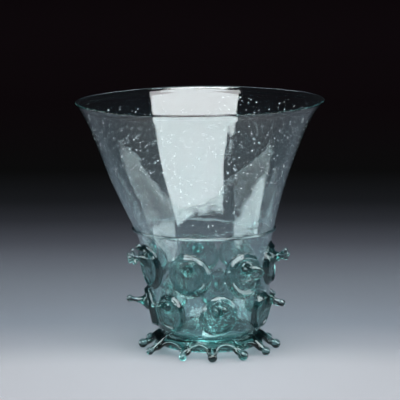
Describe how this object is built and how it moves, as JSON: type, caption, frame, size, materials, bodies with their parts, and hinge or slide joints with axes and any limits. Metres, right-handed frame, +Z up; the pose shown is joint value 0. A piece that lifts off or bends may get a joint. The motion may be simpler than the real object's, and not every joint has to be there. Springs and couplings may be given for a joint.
{
  "type": "berkemeyer glass",
  "caption": "Free-blown drinking glass with a wide funnel bowl, a threaded waist, a body set with tailed prunts and a toed foot ring.",
  "frame": {"origin": "on the table under the middle of the rim", "axes": "+Z up; -Y towards the viewer of the picture; +X to the right in the picture, the way the foot is offset"},
  "size_m": [0.1288, 0.1288, 0.1308],
  "materials": {
    "vessel_glass": "clear pale blue-green, seedy, faintly ribbed by blowing",
    "thread_glass": "clear blue-green, fire-polished",
    "prunt_glass": "clear deep blue-green, fire-polished, rippled",
    "foot_glass": "clear deep blue-green, fire-polished"
  },
  "bodies": {
    "root": {"vessel": "vessel_glass", "waist_thread": "thread_glass", "foot_ring": "foot_glass", "lower_prunt_1": "prunt_glass", "lower_prunt_2": "prunt_glass", "lower_prunt_3": "prunt_glass", "lower_prunt_4": "prunt_glass", "lower_prunt_5": "prunt_glass", "lower_prunt_6": "prunt_glass", "lower_prunt_7": "prunt_glass", "upper_prunt_1": "prunt_glass", "upper_prunt_2": "prunt_glass", "upper_prunt_3": "prunt_glass", "upper_prunt_4": "prunt_glass", "upper_prunt_5": "prunt_glass", "upper_prunt_6": "prunt_glass", "upper_prunt_7": "prunt_glass"}
  },
  "joints": []
}
